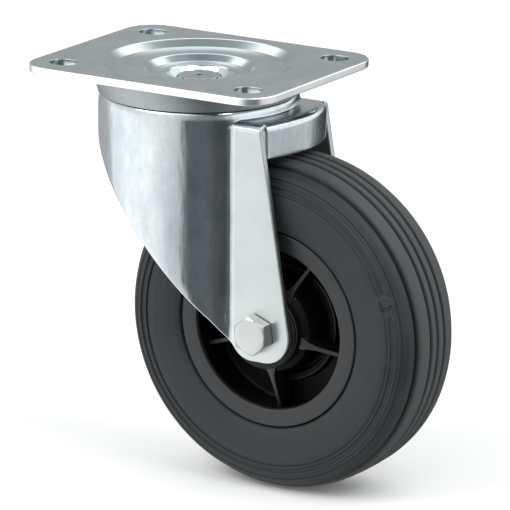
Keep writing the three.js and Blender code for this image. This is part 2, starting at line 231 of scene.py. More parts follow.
def bare_steel_material():
    """Ground steel: a bright skin with fine turning marks."""
    def build(nodes, shader):
        marks = nodes.noise(nodes.place((1, 14, 1)), 700, 3, 0.6)
        film = nodes.noise(nodes.place(), 160, 3, 0.5)
        colour = nodes.mix(nodes.remap(film, 0.3, 0.7), (0.52, 0.53, 0.54), (0.66, 0.67, 0.68))
        rough = nodes.remap(film, 0.3, 0.7, 0.16, 0.28)
        normal = bump(nodes, marks, 0.08, 0.0002)
        plug(nodes, shader, Base_Color=colour, Metallic=1.0, Roughness=rough, Normal=normal)
    return finish_material("steel", build)


ZINC = zinc_material("zinc", (0.68, 0.72, 0.725), 0.12, 0.2, 0.15, 0.22)
# Legs: rougher zinc, and a darker tint than the shell's as painted shade over the same plating.
ZINC_LEG_SHADED = zinc_material("zinc_leg_shaded", (0.59, 0.62, 0.61), 0.33, 0.42, 0.1, 0.04)
# Plate top: a darker tint than the shell's, painted shade over the same plating.
ZINC_FLAT_SHADED = zinc_material("zinc_plate_shaded", (0.57, 0.635, 0.65), 0.15, 0.21, 0.0, 0.03)
# Dust ring: rougher zinc, and a dark tint as painted shade under the plate.
ZINC_DULL_SHADED = zinc_material("zinc_dull", (0.39, 0.42, 0.425), 0.4, 0.5, 0.1)
ZINC_PIN = zinc_material("zinc_pin", (0.34, 0.37, 0.365), 0.3, 0.4, 0.0, 0.1)
# Plate's cut edges: a near-white tint, a painted highlight over the same plating.
ZINC_EDGE_HIGHLIGHT = zinc_material("zinc_edge_highlight", (0.95, 0.97, 0.97), 0.25, 0.33, 0.0, 0.04)
ZINC_BOLT = zinc_material("zinc_bolt", (0.54, 0.56, 0.53), 0.28, 0.36, 0.0, 0.04)
RUBBER = rubber_material("tyre_rubber", (0.013, 0.0155, 0.0175), (0.024, 0.0275, 0.03))
# Near-black rubber in the grooves: painted shade in the recesses, not another compound.
GROOVE_SHADE = rubber_material("groove_painted_shade", (0.002, 0.003, 0.004), (0.005, 0.006, 0.007))
RIM_PLASTIC = plastic_material("rim_plastic", (0.011, 0.012, 0.013), (0.018, 0.019, 0.021), 0.42)
# Near-black plastic deep in the wheel's pocket: painted shade in the recess.
RIM_POCKET_SHADE = plastic_material("rim_pocket_painted_shade", (0.002, 0.0022, 0.0025), (0.004, 0.0044, 0.005),
                              0.5, 0.12)
HUB_PLASTIC = plastic_material("hub_plastic", (0.005, 0.006, 0.006), (0.009, 0.01, 0.011),
                               0.5, 0.25)
# Near-black in the king pin's stake marks and centre dimple: painted shade in the pits.
PIT_SHADE = plastic_material("pit_painted_shade", (0.01, 0.011, 0.012), (0.03, 0.032, 0.034), 0.6, 0.2)
BEARING_PLASTIC = plastic_material("bearing_plastic", (0.3, 0.32, 0.34), (0.38, 0.4, 0.42), 0.45)
STEEL = bare_steel_material()


# ---- mesh helpers -------------------------------------------------------------------------------
def link_object(name, bm, body, material, replaced=(), sharp=35.0):
    """Turns a bmesh in millimetres into a piece that rides on a body."""
    mesh = bpy.data.meshes.new(name)
    bmesh.ops.scale(bm, vec=(MM, MM, MM), verts=bm.verts)
    for face in bm.faces:
        face.smooth = True
    for edge in bm.edges:
        edge.smooth = len(edge.link_faces) != 2 or edge.calc_face_angle(0.0) < rad(sharp)
    bm.to_mesh(mesh)
    bm.free()
    mesh.materials.append(material)
    piece = bpy.data.objects.new(name, mesh)
    bpy.context.scene.collection.objects.link(piece)
    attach(piece, body)
    if replaced:
        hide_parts(*replaced)
    return piece


def second_material(piece, material, chosen):
    """Gives the faces that chosen(centre, normal) picks another material; centre is in mm."""
    piece.data.materials.append(material)
    for polygon in piece.data.polygons:
        if chosen(polygon.center / MM, polygon.normal):
            polygon.material_index = 1


def keep_flats_flat(piece):
    """Lets large faces decide the shading of the small rounded edges beside them."""
    modifier = piece.modifiers.new("weighted_normals", "WEIGHTED_NORMAL")
    modifier.keep_sharp = True
    modifier.weight = 100


def rounded(corners, steps=5):
    """Points of an open line through corners (a, b) or (a, b, radius), with arcs of that radius."""
    points = []
    for i, corner in enumerate(corners):
        here = Vector(corner[:2])
        radius = corner[2] if len(corner) > 2 else 0
        if radius == 0 or i in (0, len(corners) - 1):
            points.append(tuple(here))
            continue
        before = (Vector(corners[i - 1][:2]) - here).normalized()
        after = (Vector(corners[i + 1][:2]) - here).normalized()
        half = math.acos(max(-1, min(1, before.dot(after)))) / 2
        start = here + before * (radius / math.tan(half))
        end = here + after * (radius / math.tan(half))
        centre = here + (before + after).normalized() * (radius / math.sin(half))
        a0 = math.atan2(start.y - centre.y, start.x - centre.x)
        turn = math.atan2(end.y - centre.y, end.x - centre.x) - a0
        turn = (turn + math.pi) % TAU - math.pi
        for k in range(steps + 1):
            angle = a0 + turn * k / steps
            points.append((centre.x + radius * math.cos(angle),
                           centre.y + radius * math.sin(angle)))
    return points


def spread(points, longest):
    """The same line with its long stretches split evenly."""
    out = [points[0]]
    for a, b in zip(points, points[1:]):
        count = max(1, math.ceil(math.dist(a, b) / longest))
        a, b = np.array(a), np.array(b)
        out += [tuple(a + (b - a) * k / count) for k in range(1, count + 1)]
    return out


def turned(profile, angles, axis="Z", centre=(0, 0, 0), closed=False, relief=None):
    """A bmesh turned from (radius, height) points at the given angles, which go round once.

    relief(r, h, angle) lifts a point along the axis.
    """
    bm = bmesh.new()
    cx, cy, cz = centre
    columns = []
    for angle in angles:
        c, s = math.cos(angle), math.sin(angle)
        column = []
        for r, h in profile:
            lift = relief(r, h, angle) if relief else 0.0
            if axis == "Z":
                place = (cx + r * c, cy + r * s, cz + h + lift)
            else:
                place = (cx + r * c, cy + h + lift, cz + r * s)
            column.append(bm.verts.new(place))
        columns.append(column)
    rows = range(len(profile)) if closed else range(len(profile) - 1)
    for i, column in enumerate(columns):
        following = columns[(i + 1) % len(columns)]
        for j in rows:
            k = (j + 1) % len(profile)
            bm.faces.new((column[j], column[k], following[k], following[j]))
    bmesh.ops.remove_doubles(bm, verts=bm.verts, dist=1e-5)
    bmesh.ops.recalc_face_normals(bm, faces=bm.faces)
    return bm


def even_angles(count):
    return [TAU * k / count for k in range(count)]


def inside_loop(loop, x, y):
    inside = False
    for (x0, y0), (x1, y1) in zip(loop, loop[1:] + loop[:1]):
        if (y0 > y) != (y1 > y) and x < x0 + (y - y0) * (x1 - x0) / (y1 - y0):
            inside = not inside
    return inside


def filled(loops, lift):
    """Triangles (points, faces) that fill a flat outline and leave the loops within it open."""
    points, edges = [], []
    for loop in loops:
        first = len(points)
        points += [Vector(p) for p in loop]
        edges += [(first + k, first + (k + 1) % len(loop)) for k in range(len(loop))]
    verts, _, faces, *_ = geometry.delaunay_2d_cdt(points, edges, [], 0, 1e-6)
    kept = []
    for face in faces:
        x, y = sum((verts[i] for i in face), Vector((0, 0))) / len(face)
        if sum(inside_loop(loop, x, y) for loop in loops) % 2:
            kept.append(face)
    return [lift(v.x, v.y) for v in verts], kept


def add_faces(bm, points, faces):
    verts = [bm.verts.new(p) for p in points]
    for face in faces:
        bm.faces.new([verts[i] for i in face])


def boundary_loops(bm):
    """Ordered vertex loops round the open borders of a sheet."""
    links = {}
    for edge in bm.edges:
        if len(edge.link_faces) == 1:
            a, b = edge.verts
            links.setdefault(a, []).append(b)
            links.setdefault(b, []).append(a)
    odd = [v.co[:] for v, near in links.items() if len(near) != 2]
    if odd:
        raise ValueError(f"{len(odd)} open border corners, such as {odd[:4]}")
    seen, loops = set(), []
    for start in links:
        if start in seen:
            continue
        loop, here, before = [start], links[start][0], start
        while here is not start:
            loop.append(here)
            here, before = next(v for v in links[here] if v is not before), here
        seen.update(loop)
        loops.append(loop)
    return loops


def pressed_sheet(bm, thickness, edge_radius, under=None, steps=4):
    """Gives an open surface its sheet thickness and rounded cut edges.

    edge_radius(loop) is how far a cut edge stands out; under(place) overrides the thickness.
    """
    bmesh.ops.remove_doubles(bm, verts=bm.verts, dist=1e-4)
    bmesh.ops.recalc_face_normals(bm, faces=bm.faces)
    bm.normal_update()
    upside = sum(f.normal.z * f.calc_area() for f in bm.faces)
    if upside < 0:
        bmesh.ops.reverse_faces(bm, faces=bm.faces)
        bm.normal_update()
    loops = boundary_loops(bm)
    top_verts, top_faces = list(bm.verts), list(bm.faces)
    normals = {v: v.normal.copy() for v in top_verts}
    low = {}
    for v in top_verts:
        place = under(v.co) if under else v.co - normals[v] * thickness
        low[v] = bm.verts.new(place)
    for face in top_faces:
        bm.faces.new([low[v] for v in reversed(face.verts)])
    for loop in loops:
        edge_band(bm, loop, normals, low, edge_radius(loop), steps)
    bmesh.ops.recalc_face_normals(bm, faces=bm.faces)


def edge_band(bm, loop, normals, low, radius, steps):
    """Closes a sheet's cut edge with a rounded band from its upper loop to its lower one."""
    count = len(loop)
    rings = []
    for k, v in enumerate(loop):
        normal = normals[v]
        along = (loop[(k + 1) % count].co - loop[k - 1].co).normalized()
        outward = along.cross(normal).normalized()
        near = [f.calc_center_median() for f in v.link_faces if f.normal.dot(normal) > 0.3]
        inside = sum(near, Vector()) / max(1, len(near))
        if outward.dot(v.co - inside) < 0:
            outward = -outward
        ring = [v]
        for i in range(1, steps + 1):
            angle = rad(90) * i / steps
            ring.append(bm.verts.new(v.co + outward * radius * math.sin(angle)
                                     - normal * radius * (1 - math.cos(angle))))
        for i in range(steps, 0, -1):
            angle = rad(90) * i / steps
            ring.append(bm.verts.new(low[v].co + outward * radius * math.sin(angle)
                                     + normal * radius * (1 - math.cos(angle))))
        rings.append(ring + [low[v]])
    for k in range(count):
        a, b = rings[k], rings[(k + 1) % count]
        for i in range(len(a) - 1):
            bm.faces.new((a[i], a[i + 1], b[i + 1], b[i]))


# ---- top plate ----------------------------------------------------------------------------------
PLATE_LENGTH, PLATE_WIDTH, PLATE_SHEET, PLATE_CORNER = 105.0, 85.0, 3.0, 12.0
PLATE_EDGE, SLOT_EDGE = 0.55, 0.15
SLOT_X, SLOT_Y, SLOT_LENGTH, SLOT_R = 40.0, 30.0, 11.0, 4.5
DISH_R = 38.2
DISH_TOP = [(DISH_R, 0), (36.1, 0, 3.0), (31.9, -2.3, 0.6), (20.7, -2.3, 2.2), (17.5, -4.4, 0.6),
            (11.9, -4.4, 1.3), (10.1, -7.7, 0.8), (6.4, -7.7)]
DISH_UNDER = [(5.0, -10.7), (12.2, -10.7), (14.6, -7.4), (18.4, -7.4), (21.6, -5.3), (31.8, -5.3),
              (35.4, -3.3), (38.0, -3.0), (80.0, -3.0)]


def rounded_rectangle(half_x, half_y, corner, steps=14):
    points = []
    for quarter, (sx, sy) in enumerate([(1, 1), (-1, 1), (-1, -1), (1, -1)]):
        for k in range(steps + 1):
            angle = rad(90) * (quarter + k / steps)
            points.append((sx * (half_x - corner) + corner * math.cos(angle),
                           sy * (half_y - corner) + corner * math.sin(angle)))
    return points


def slot_loop(x, y, radius, half):
    right = [(x + half + radius * math.cos(a), y + radius * math.sin(a))
             for a in np.linspace(rad(-90), rad(90), 13)]
    left = [(x - half + radius * math.cos(a), y + radius * math.sin(a))
            for a in np.linspace(rad(90), rad(270), 13)]
    return right + left


def make_plate():
    segments = 192
    edge = PLATE_EDGE
    outline = rounded_rectangle(PLATE_LENGTH / 2 - edge, PLATE_WIDTH / 2 - edge,
                                PLATE_CORNER - edge)
    half = SLOT_LENGTH / 2 - SLOT_R
    slots = [(sx * SLOT_X, sy * SLOT_Y) for sx in (-1, 1) for sy in (-1, 1)]
    loops = [outline] + [slot_loop(x, y, SLOT_R + SLOT_EDGE, half) for x, y in slots]
    loops.append([(DISH_R * math.cos(a), DISH_R * math.sin(a)) for a in even_angles(segments)])

    dish = spread(rounded(DISH_TOP, 6), 2.5)
    bm = turned(dish, even_angles(segments))
    add_faces(bm, *filled(loops, lambda x, y: (x, y, 0.0)))
    radii, depths = zip(*DISH_UNDER)

    def under(co):
        return Vector((co.x, co.y, float(np.interp(math.hypot(co.x, co.y), radii, depths))))

    pressed_sheet(bm, PLATE_SHEET, lambda loop: SLOT_EDGE if len(loop) < 40 else edge, under)
    # The plate's darker zinc tint is painted shade.
    piece = link_object("top_plate_pressed", bm, "plate", ZINC_FLAT_SHADED, ["top_plate"])
    # The outer cut edges take the near-white zinc, a painted highlight.
    second_material(piece, ZINC_EDGE_HIGHLIGHT, lambda centre, normal: abs(normal.z) < 0.75
                    and (abs(centre.x) > 46 or abs(centre.y) > 35.5))
    keep_flats_flat(piece)


# ---- dust ring and king pin ---------------------------------------------------------------------
def make_dust_ring():
    outside = rounded([(38.1, -3.3), (38.4, -3.3, 0.2), (38.4, -7.4, 2.5), (37.5, -10.8, 0.35),
                       (36.5, -10.8, 0.35), (37.2, -7.4, 2.0), (37.2, -3.3, 0.2), (37.6, -3.3)], 5)
    bm = turned(spread(outside, 1.0), even_angles(220), closed=True)
    # The dust ring's dark zinc tint is painted shade under the plate; its roughness is its own.
    link_object("dust_ring_pressed", bm, "plate", ZINC_DULL_SHADED, ["dust_ring"])


STAKE_R, STAKE_DEPTH, STAKE_WIDTH = 8.0, 0.8, 0.7


def make_king_pin():
    """A riveted head with a centre dimple and stake marks, and the flange under the race."""
    head = rounded([(0, -6.5), (0.5, -6.4, 0.2), (1.1, -5.4, 0.2), (1.6, -5.3, 0.2),
                    (7.7, -5.35, 0.8), (8.6, -6.1, 0.4), (8.6, -7.4)], 4)
    shank = [(5.9, -7.4), (5.9, -26.7)]
    flange = rounded([(9.2, -26.7), (9.5, -26.7, 0.2), (9.5, -29.2, 0.7), (0, -29.2)], 4)
    turns = [rad(-72 + 36 * k) for k in range(10)]
    marks = [(STAKE_R * math.cos(turn), STAKE_R * math.sin(turn)) for turn in turns]

    def stakes(r, h, angle):
        if h < -6.6 or r < 5:
            return 0.0
        depth = 0.0
        for x, y in marks:
            gap = math.hypot(r * math.cos(angle) - x, r * math.sin(angle) - y)
            depth += STAKE_DEPTH * math.exp(-(gap / STAKE_WIDTH) ** 2)
        return -depth

    profile = spread(head, 0.45) + shank + spread(flange, 1.5)
    bm = turned(profile, even_angles(140), relief=stakes)
    piece = link_object("king_pin_riveted", bm, "plate", ZINC_PIN, ["king_pin"])

    # Faces in the stake marks and centre dimple get the near-black material: painted shade.
    def in_shaded_pit(centre, normal):
        near = min(math.dist(centre[:2], mark) for mark in marks)
        return centre.z > -10 and (near < 0.75 or math.hypot(centre.x, centre.y) < 1.1)

    second_material(piece, PIT_SHADE, in_shaded_pit)


# ---- fork ---------------------------------------------------------------------------------------
SHEET = 2.5
SHELL_R, LEG_Y, CREASE_R = 37.4, 24.0, 4.0
REAR_R, APRON_Y, APRON_BOTTOM = 47.3, 20.9, -27.5
CROWN_Z, BEND_R = -14.5, 3.0
BEND_END = CROWN_Z - BEND_R
NECK_R, NECK_Z, NECK_DROP = 36.0, -11.0, 5.0
ROOT_R = 37.336
FORK_EDGE = 0.5
CREASE_Y = LEG_Y + CREASE_R
CREASE_X = math.sqrt((SHELL_R + CREASE_R) ** 2 - CREASE_Y ** 2)
CREASE_TURN = math.atan2(CREASE_Y, CREASE_X)
FRONT_SLOPE, KNEE, REAR_SLOPE, LEG_BOTTOM = 1.147, (23.5, -89.4), 0.166, -103.6


def rear_x(z):
    return 41.6 + REAR_SLOPE * (-18.6 - z)


def fork_side_outline():
    """The fork's edge in X and Z: front slope, knee, rounded leg end, rear edge up to the bend."""
    start = (-60.0, KNEE[1] + (KNEE[0] + 60.0) * FRONT_SLOPE)
    corners = [start, (*KNEE, 20), (33.2, LEG_BOTTOM, 9), (rear_x(LEG_BOTTOM), LEG_BOTTOM, 10.5),
               (rear_x(BEND_END), BEND_END)]
    return spread(rounded(corners, 14), 2.0)


def front_columns(count=112, crease_steps=8):
    """Plan points (point, inward normal) from the +Y side's leg to the middle of the front."""
    columns = []
    for a in np.linspace(rad(-90), rad(-180) + CREASE_TURN, crease_steps + 1):
        normal = Vector((math.cos(a), math.sin(a)))
        columns.append((Vector((CREASE_X, CREASE_Y)) + normal * CREASE_R, normal))
    for a in np.linspace(CREASE_TURN, math.pi, count // 2 + 1)[1:]:
        outward = Vector((math.cos(a), math.sin(a)))
        columns.append((outward * SHELL_R, -outward))
    return columns


def offset_line(points, distance):
    """A line moved sideways to its left by distance."""
    points = np.array(points, float)
    along = np.gradient(points, axis=0)
    along /= np.linalg.norm(along, axis=1)[:, None]
    return points + np.stack([-along[:, 1], along[:, 0]], 1) * distance


RACES = [(9.4, -13.6), (17, -13.6), (24, -13.6), (25.4, -12.7), (26.2, -11.5), (27, -11),
         (28.2, -12.3), (29.5, -13.2), (30.5, -13.4), (31.5, -13.2), (32.8, -12.3),
         (34, -11.15), (35, -11)]
NECK_TURNS = [0, 12, 24, 36, 47, 57, 66]
ROOT_STEPS, FLAT_STEPS = (0.25, 0.5, 0.75, 1.0), (0.2, 0.5, 0.8, 1.0)
BEND_ROW = len(RACES) + len(NECK_TURNS) + len(ROOT_STEPS) + len(FLAT_STEPS) - 1


def bend_depth(p, n):
    """How far in from plan point p the bend reaches before it meets the neck's root."""
    if (p + n * BEND_R).length >= SHELL_R:
        return BEND_R
    b = p.dot(n)
    return max(0.0, -b - math.sqrt(max(0.0, b * b - p.length_squared + SHELL_R ** 2)))


def crown_column(p, n, root_angle):
    """Points of one column from the crown's middle out over the neck, crown and bend."""
    circle = Vector((math.cos(root_angle), math.sin(root_angle)))
    points = [Vector((*(circle * r), z)) for r, z in RACES]
    for angle in np.radians(NECK_TURNS):
        points.append(Vector((*(circle * (NECK_R + 1.4 * math.sin(angle))),
                              NECK_Z - NECK_DROP * (1 - math.cos(angle)))))
    depth = bend_depth(p, n)
    first = math.asin((BEND_R - depth) / BEND_R)
    start_z = CROWN_Z - BEND_R * (1 - math.cos(first))
    root = Vector((*(circle * ROOT_R), CROWN_Z))
    start = Vector((*(p + n * depth), start_z))
    reach = min(0.6, (start - root).length * 0.5)
    after = root + (start - root).normalized() * reach
    before = points[-1]
    for t in ROOT_STEPS:
        points.append(before * (1 - t) ** 2 + root * 2 * t * (1 - t) + after * t * t)
    for t in FLAT_STEPS:
        points.append(after.lerp(start, t))
    for k in range(1, 9):
        angle = first + (rad(90) - first) * k / 8
        place = p + n * (BEND_R - BEND_R * math.sin(angle))
        points.append(Vector((*place, CROWN_Z - BEND_R * (1 - math.cos(angle)))))
    return points


def join_columns(bm, columns, skip=()):
    """Quads between neighbouring columns; skip holds (column, first row left open)."""
    verts = [[bm.verts.new(p) for p in column] for column in columns]
    open_from = dict(skip)
    for i in range(len(verts) - 1):
        rows = open_from.get(i, len(verts[i]) - 1)
        for j in range(rows):
            quad = (verts[i][j], verts[i][j + 1], verts[i + 1][j + 1], verts[i + 1][j])
            bm.faces.new(quad)


def mirror(column):
    return [Vector((v.x, -v.y, v.z)) for v in column]


def down_from_bend(x, y, low, rows):
    """Points straight down from the bend's end to height low."""
    return [Vector((x, y, BEND_END + (low - BEND_END) * k / rows)) for k in range(rows + 1)]


def make_fork():
    outline = fork_side_outline()
    plan = front_columns()
    steps = [(b - a).length for (a, _), (b, _) in zip(plan, plan[1:])]
    lengths = np.concatenate([[0], np.cumsum(steps)])
    side_x, side_z = zip(*outline)
    front_x = [p.x for p, _ in plan]
    knee_part = [i for i, x in enumerate(side_x) if x <= CREASE_X and side_z[i] < 0 or x < KNEE[0]]
    last_front = max(knee_part)
    low = [float(np.interp(x, side_x[:last_front + 2], side_z[:last_front + 2])) for x in front_x]
    pattern = [(-s, z) for s, z in zip(lengths, low)][::-1]
    leg_part = [(x - CREASE_X, z) for x, z in outline[last_front + 1:] if x > CREASE_X + 0.3]
    edge_line = offset_line(pattern + leg_part, FORK_EDGE)
    front_edge = edge_line[:len(pattern)]
    wall_low = [float(np.interp(-s, front_edge[:, 0], front_edge[:, 1])) for s in lengths]
    leg_edge = [(x + CREASE_X, z) for x, z in edge_line[len(pattern):]]
    leg_edge[-1] = (leg_edge[-1][0], BEND_END)
    last_x = leg_edge[-1][0]

    bm = bmesh.new()
    leg_xs = list(np.linspace(CREASE_X, last_x, 9))
    root_first = math.atan2(math.sqrt(SHELL_R ** 2 - CREASE_X ** 2), CREASE_X)
    root_last = math.asin(APRON_Y / REAR_R) + rad(2.0)
    leg_columns = []
    for k, x in enumerate(leg_xs):
        angle = root_first + (root_last - root_first) * k / (len(leg_xs) - 1)
        leg_columns.append(crown_column(Vector((x, LEG_Y)), Vector((0, -1)), angle))
    half_front = []
    for p, n in plan:
        q = p + n * bend_depth(p, n)
        half_front.append(crown_column(p, n, math.atan2(q.y, q.x)))
    rear_turn = math.asin((APRON_Y - FORK_EDGE) / REAR_R)
    rear = []
    for a in np.linspace(-rear_turn, rear_turn, 29):
        outward = Vector((math.cos(a), math.sin(a)))
        rear.append(crown_column(outward * REAR_R, -outward, a))
    ring = leg_columns[::-1] + half_front[1:]
    ring = ring + [mirror(c) for c in half_front[-2:0:-1]] + [mirror(c) for c in leg_columns]
    gap_one = len(ring) - 1
    ring = ring + rear
    gap_two = len(ring) - 1
    ring.append(leg_columns[-1])
    join_columns(bm, ring, skip=[(gap_one, BEND_ROW), (gap_two, BEND_ROW)])

    walls = [down_from_bend(p.x, p.y, z, 12) for (p, _), z in zip(plan, wall_low)]
    join_columns(bm, walls + [mirror(c) for c in walls[-2::-1]])
    apron_low = APRON_BOTTOM + FORK_EDGE
    join_columns(bm, [down_from_bend(c[-1].x, c[-1].y, apron_low, 4) for c in rear])

    hole_r = 4.3 + FORK_EDGE
    hole = [(AXLE.x + hole_r * math.cos(a), AXLE.z + hole_r * math.sin(a))
            for a in even_angles(48)]
    crease_line = [(CREASE_X, v.z) for v in walls[0]]
    border = [(x, BEND_END) for x in leg_xs[1:-1]] + leg_edge[::-1] + crease_line[::-1]

    for side in (-1, 1):
        add_faces(bm, *filled([border, hole], lambda x, z: (x, side * LEG_Y, z)))
    pressed_sheet(bm, SHEET, lambda loop: FORK_EDGE)
    piece = link_object("fork_pressed", bm, "fork", ZINC, ["fork"])
    # The flat legs take the darker zinc: painted shade over the shell's plating, on a rougher
    # finish.
    second_material(piece, ZINC_LEG_SHADED, lambda centre, normal: centre.x > CREASE_X
                    and centre.z < BEND_END and abs(centre.y) > LEG_Y - SHEET - 0.5)


# ---- axle bolt, washer, nut ---------------------------------------------------------------------
HEX_ACROSS, HEX_TURN, CHAMFER = 13.0, rad(38), rad(28)


def hex_radius(angle):
    return HEX_ACROSS / 2 / math.cos((angle - HEX_TURN) % rad(60) - rad(30))


def hex_angles():
    return [HEX_TURN + rad(60) * (k + j / 12) for k in range(6) for j in range(12)]


def hex_body(face_y, base_y, face_r, inner_face):
    """A hexagon from chamfered face to base; inner_face is the face's profile from the centre."""
    outward = math.copysign(1, face_y - base_y)
    bm = bmesh.new()
    columns = []
    for angle in hex_angles():
        c, s = math.cos(angle), math.sin(angle)
        radius = hex_radius(angle)
        drop = (radius - face_r) * math.tan(CHAMFER)
        rows = [(r, face_y + h * outward) for r, h in inner_face]
        rows += [(face_r - 0.25, face_y), (face_r, face_y - 0.06 * outward)]
        rows += [((face_r + radius) / 2, face_y - outward * drop * 0.5)]
        rows += [(radius - 0.12, face_y - outward * drop)]
        rows += [(radius, face_y - outward * (drop + 0.14)), (radius, base_y + outward * 0.3)]
        rows += [(radius - 0.2, base_y), (0.0, base_y)]
        columns.append([bm.verts.new((AXLE.x + r * c, y, AXLE.z + r * s)) for r, y in rows])
    for i, column in enumerate(columns):
        following = columns[(i + 1) % len(columns)]
        for j in range(len(column) - 1):
            bm.faces.new((column[j], column[j + 1], following[j + 1], following[j]))
    bmesh.ops.remove_doubles(bm, verts=bm.verts, dist=1e-5)
    bmesh.ops.recalc_face_normals(bm, faces=bm.faces)
    return bm


def merge(bm, other):
    mesh = bpy.data.meshes.new("part")
    other.to_mesh(mesh)
    other.free()
    bm.from_mesh(mesh)
    bpy.data.meshes.remove(mesh)


def threads(start, end, pitch=1.25, crest=4.0, root=3.35):
    """A ringed thread form along the end of the bolt."""
    points = []
    y = start
    while y < end - pitch:
        points += [(root, y), (crest, y + pitch * 0.35)]
        points += [(crest, y + pitch * 0.5), (root, y + pitch * 0.85)]
        y += pitch
    return points


def make_bolt():
    face, base = -29.6, -24.3
    bm = hex_body(face, base, 6.05, [(0, 0), (2.0, 0), (4.2, 0)])
    shank = [(0, base - 0.5), (4.0, base - 0.5), (4.0, 22.0)] + threads(24.0, 35.0)
    shank += rounded([(3.4, 34.6), (3.4, 35.0), (2.9, 35.5, 0.3), (0, 35.5)], 4)
    merge(bm, turned(shank, even_angles(64), "Y", AXLE))
    link_object("axle_bolt_hex", bm, "fork", ZINC_BOLT, ["axle_bolt"], 25)


def make_nut():
    """A self-locking nut: a chamfered hexagon and a rolled collar over its plastic ring."""
    base, top = 26.1, 32.3
    bm = bmesh.new()
    columns = []
    for angle in hex_angles():
        c, s = math.cos(angle), math.sin(angle)
        radius = hex_radius(angle)
        drop = (radius - 6.0) * math.tan(CHAMFER)
        rows = [(4.3, base + 0.4), (4.7, base), (6.0, base), (radius - 0.1, base + drop),
                (radius, base + drop + 0.15), (radius, top - drop - 0.15),
                (radius - 0.1, top - drop), (6.1, top), (6.0, top + 0.3)]
        rows += [(6.0, 33.3), (5.75, 33.9), (5.2, 34.1), (4.95, 33.95), (5.3, 33.5), (5.5, 32.5),
                 (4.3, 32.3)]
        columns.append([bm.verts.new((AXLE.x + r * c, y, AXLE.z + r * s)) for r, y in rows])
    for i, column in enumerate(columns):
        following = columns[(i + 1) % len(columns)]
        for j in range(len(column)):
            k = (j + 1) % len(column)
            bm.faces.new((column[j], column[k], following[k], following[j]))
    bmesh.ops.recalc_face_normals(bm, faces=bm.faces)
    link_object("axle_nut_locking", bm, "fork", ZINC_BOLT, ["axle_nut"], 25)


def make_washer():
    profile = rounded([(6.0, 24.3), (8.0, 24.3, 0.3), (8.0, 25.8, 0.35), (4.3, 25.8, 0.2),
                       (4.3, 24.3, 0.2), (6.0, 24.3)], 4)[:-1]
    bm = turned(profile, even_angles(96), "Y", AXLE, closed=True)
    link_object("axle_washer_turned", bm, "fork", ZINC_BOLT, ["axle_washer"])


# ---- tyre ---------------------------------------------------------------------------------------
MARK_ANGLE, MARK_R, MARK_SIZE = rad(18.0), 53.6, 4.7
FINE_GROOVES = (51.8, 54.1, 57.2)


def tyre_half():
    """Half profile (radius, half width): tread grooves, shoulder valley, ringed sidewall."""
    tread = [(60.6, 0.0), (60.7, 0.6, 0.25), (62.4, 1.0, 0.25), (62.5, 2.4, 2), (62.45, 3.8, 0.25),
             (60.7, 4.15, 0.3), (60.7, 5.35, 0.3), (62.35, 5.8, 0.25), (62.3, 8.0, 3),
             (61.95, 10.4, 2), (61.3, 11.8, 0.3)]
    shoulder = [(59.6, 12.2, 0.2), (59.7, 12.9, 0.3), (60.3, 13.3, 0.4), (59.3, 15.3, 2.5),
                (57.4, 16.9, 0.3), (57.0, 16.75, 0.2), (56.5, 17.35, 0.3), (55.8, 17.45, 0.1)]
    rings = [(55.4, 18.1, 0.15), (54.8, 18.2, 0.15), (54.4, 17.6, 0.15), (53.2, 17.9, 0.15),
             (52.85, 18.5, 0.15), (52.2, 18.6, 0.15), (51.8, 18.05, 0.15), (51.1, 18.4, 0.5)]
    wall = [(49.0, 18.75, 5), (44.5, 18.6, 4), (40.2, 17.95, 2), (38.2, 17.35, 0.5),
            (37.75, 16.6, 0.2)]
    return tread + shoulder + rings + wall


def tyre_angles():
    fine = np.linspace(MARK_ANGLE - rad(6), MARK_ANGLE + rad(6), 61)
    coarse = np.linspace(MARK_ANGLE + rad(6), MARK_ANGLE - rad(6) + TAU, 261)[1:-1]
    return list(fine) + list(coarse)


def make_tyre():
    half = spread(rounded(tyre_half(), 4), 1.1)
    seat = [(37.7, 8.7), (40.3, 7.7)]
    profile = [(r, h) for r, h in half] + seat
    profile = profile + [(r, -h) for r, h in profile[::-1][:-1]]

    def mark(r, h, angle):
        """A small round ejector mark with a crescent in it, on the bolt-head side."""
        if h > -14 or abs(r - MARK_R) > 7:
            return 0.0
        x = r * math.cos(angle - MARK_ANGLE) - MARK_R
        z = r * math.sin(angle - MARK_ANGLE)
        gap = math.hypot(x, z)
        if gap > MARK_SIZE + 1:
            return 0.0
        wall = 18.75 - 0.037 * max(0.0, r - 50.0) ** 2
        inside = min(1.0, max(0.0, (MARK_SIZE - gap) / 0.7))
        inside = inside * inside * (3 - 2 * inside)
        crescent = math.hypot(x + 0.2, z - 0.6) < 2.2 and math.hypot(x - 0.3, z - 1.6) > 2.0
        groove = 0.6 if crescent else 0.3 * max(0.0, 1.0 - abs(gap - 4.0) / 0.5)
        lifted = groove - wall - 0.25
        return inside * (lifted - h)

    bm = turned(profile, tyre_angles(), "Y", AXLE, closed=True, relief=mark)
    piece = link_object("tyre_moulded", bm, "wheel", RUBBER, ["tyre"], 50)

    # Groove faces get the near-black rubber: painted shade in the tread and ring grooves.
    def in_shaded_groove(centre, normal):
        radius = math.hypot(centre.x - AXLE.x, centre.z - AXLE.z)
        half = abs(centre.y)
        fine = any(abs(radius - line) < 0.25 for line in FINE_GROOVES) and half > 16
        return radius < 61.7 and half < 13.1 and radius > 50 or fine

    second_material(piece, GROOVE_SHADE, in_shaded_groove)


# ---- rim ----------------------------------------------------------------------------------------
RIB_ANGLES = [rad(58 + 72 * k) for k in range(5)]
WEB_HALF = 2.2


